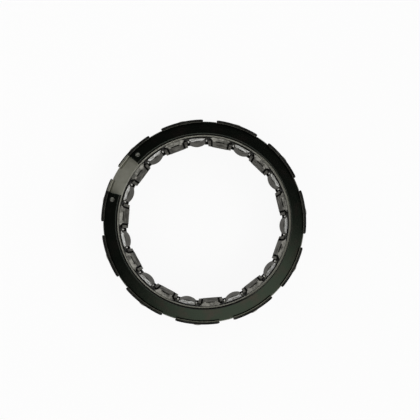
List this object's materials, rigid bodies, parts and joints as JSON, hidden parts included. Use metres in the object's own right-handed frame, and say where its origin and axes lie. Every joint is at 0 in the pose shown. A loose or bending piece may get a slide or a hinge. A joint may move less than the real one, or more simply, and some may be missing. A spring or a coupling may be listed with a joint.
{
  "type": "sprag clutch",
  "caption": "One-way sprag clutch: a lugged outer race with a retaining plate and snap ring carries two cages, a ribbon spring and tilting sprags round an open bore.",
  "frame": {"origin": "on the clutch's axis, in the plane of the outer race's rear end face", "axes": "+Z along the axis towards the open front with the snap ring, +X through the middle of one lug"},
  "size_m": [0.1206, 0.1206, 0.024],
  "materials": {
    "race_steel": "hardened and tumbled, oiled, dark",
    "bare_plate": "ground, satin",
    "black_spring_steel": "black oxide, oiled, semi-matt",
    "cage_steel": "stamped and hardened, satin",
    "ground_steel": "drawn, ground and polished, oiled",
    "spring_strip": "bright strip"
  },
  "bodies": {
    "race": {"outer_race": "race_steel", "retaining_plate": "bare_plate", "snap_ring": "black_spring_steel"},
    "outer_cage": {"outer_cage": "cage_steel", "drag_clip_1": "spring_strip", "drag_clip_2": "spring_strip", "drag_clip_3": "spring_strip"},
    "inner_cage": {"inner_cage": "cage_steel", "ribbon_spring": "spring_strip"},
    "sprag_01": {"sprag_01": "ground_steel"},
    "sprag_02": {"sprag_02": "ground_steel"},
    "sprag_03": {"sprag_03": "ground_steel"},
    "sprag_04": {"sprag_04": "ground_steel"},
    "sprag_05": {"sprag_05": "ground_steel"},
    "sprag_06": {"sprag_06": "ground_steel"},
    "sprag_07": {"sprag_07": "ground_steel"},
    "sprag_08": {"sprag_08": "ground_steel"},
    "sprag_09": {"sprag_09": "ground_steel"},
    "sprag_10": {"sprag_10": "ground_steel"},
    "sprag_11": {"sprag_11": "ground_steel"}
  },
  "joints": [
    {"name": "cage_spin", "type": "hinge", "parent": "race", "child": "outer_cage", "pos_m": [0, 0, 0.01043], "axis": [0, 0, 1], "continuous": true},
    {"name": "inner_cage_phase", "type": "hinge", "parent": "outer_cage", "child": "inner_cage", "pos_m": [0, 0, 0.01043], "axis": [0, 0, 1], "range_deg": [0, 0.93], "stiffness_Nm_per_rad": 1},
    {"name": "sprag_01_tilt", "type": "hinge", "parent": "outer_cage", "child": "sprag_01", "pos_m": [0.05414, -0.0078, 0.01043], "axis": [0, 0, 1], "range_deg": [-8, 0]},
    {"name": "sprag_02_tilt", "type": "hinge", "parent": "outer_cage", "child": "sprag_02", "pos_m": [0.04976, 0.02271, 0.01043], "axis": [0, 0, 1], "range_deg": [-8, 0]},
    {"name": "sprag_03_tilt", "type": "hinge", "parent": "outer_cage", "child": "sprag_03", "pos_m": [0.02959, 0.04601, 0.01043], "axis": [0, 0, 1], "range_deg": [-8, 0]},
    {"name": "sprag_04_tilt", "type": "hinge", "parent": "outer_cage", "child": "sprag_04", "pos_m": [0.00002, 0.0547, 0.01043], "axis": [0, 0, 1], "range_deg": [-8, 0]},
    {"name": "sprag_05_tilt", "type": "hinge", "parent": "outer_cage", "child": "sprag_05", "pos_m": [-0.02956, 0.04603, 0.01043], "axis": [0, 0, 1], "range_deg": [-8, 0]},
    {"name": "sprag_06_tilt", "type": "hinge", "parent": "outer_cage", "child": "sprag_06", "pos_m": [-0.04975, 0.02274, 0.01043], "axis": [0, 0, 1], "range_deg": [-8, 0]},
    {"name": "sprag_07_tilt", "type": "hinge", "parent": "outer_cage", "child": "sprag_07", "pos_m": [-0.05415, -0.00777, 0.01043], "axis": [0, 0, 1], "range_deg": [-8, 0]},
    {"name": "sprag_08_tilt", "type": "hinge", "parent": "outer_cage", "child": "sprag_08", "pos_m": [-0.04135, -0.03581, 0.01043], "axis": [0, 0, 1], "range_deg": [-8, 0]},
    {"name": "sprag_09_tilt", "type": "hinge", "parent": "outer_cage", "child": "sprag_09", "pos_m": [-0.01543, -0.05248, 0.01043], "axis": [0, 0, 1], "range_deg": [-8, 0]},
    {"name": "sprag_10_tilt", "type": "hinge", "parent": "outer_cage", "child": "sprag_10", "pos_m": [0.01539, -0.05249, 0.01043], "axis": [0, 0, 1], "range_deg": [-8, 0]},
    {"name": "sprag_11_tilt", "type": "hinge", "parent": "outer_cage", "child": "sprag_11", "pos_m": [0.04133, -0.03583, 0.01043], "axis": [0, 0, 1], "range_deg": [-8, 0]}
  ],
  "couplings": [
    {"joint": "sprag_01_tilt", "follows": "inner_cage_phase", "ratio": -8.6},
    {"joint": "sprag_02_tilt", "follows": "inner_cage_phase", "ratio": -8.6},
    {"joint": "sprag_03_tilt", "follows": "inner_cage_phase", "ratio": -8.6},
    {"joint": "sprag_04_tilt", "follows": "inner_cage_phase", "ratio": -8.6},
    {"joint": "sprag_05_tilt", "follows": "inner_cage_phase", "ratio": -8.6},
    {"joint": "sprag_06_tilt", "follows": "inner_cage_phase", "ratio": -8.6},
    {"joint": "sprag_07_tilt", "follows": "inner_cage_phase", "ratio": -8.6},
    {"joint": "sprag_08_tilt", "follows": "inner_cage_phase", "ratio": -8.6},
    {"joint": "sprag_09_tilt", "follows": "inner_cage_phase", "ratio": -8.6},
    {"joint": "sprag_10_tilt", "follows": "inner_cage_phase", "ratio": -8.6},
    {"joint": "sprag_11_tilt", "follows": "inner_cage_phase", "ratio": -8.6}
  ]
}
